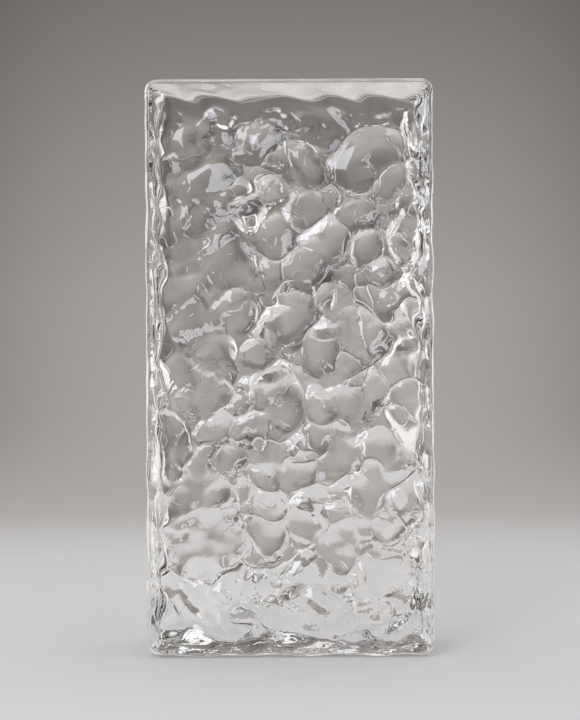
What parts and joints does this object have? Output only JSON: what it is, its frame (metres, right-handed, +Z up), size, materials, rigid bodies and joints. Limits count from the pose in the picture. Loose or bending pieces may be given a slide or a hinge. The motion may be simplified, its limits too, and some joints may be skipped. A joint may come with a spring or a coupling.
{
  "type": "solid glass brick",
  "caption": "Solid cast-glass brick with pebbled front and back faces, flat narrow sides and rounded edges, standing on its end.",
  "frame": {"origin": "centre of the flat lower end that the brick stands on", "axes": "+Z up along the brick's length, +X across its width, and the pebbled faces look along -Y (front) and +Y (back)"},
  "size_m": [0.1, 0.05, 0.2],
  "materials": {
    "clear_glass": "fire-polished, clear and very slightly grey, gloss"
  },
  "bodies": {
    "root": {"glass_brick": "clear_glass"}
  },
  "joints": []
}
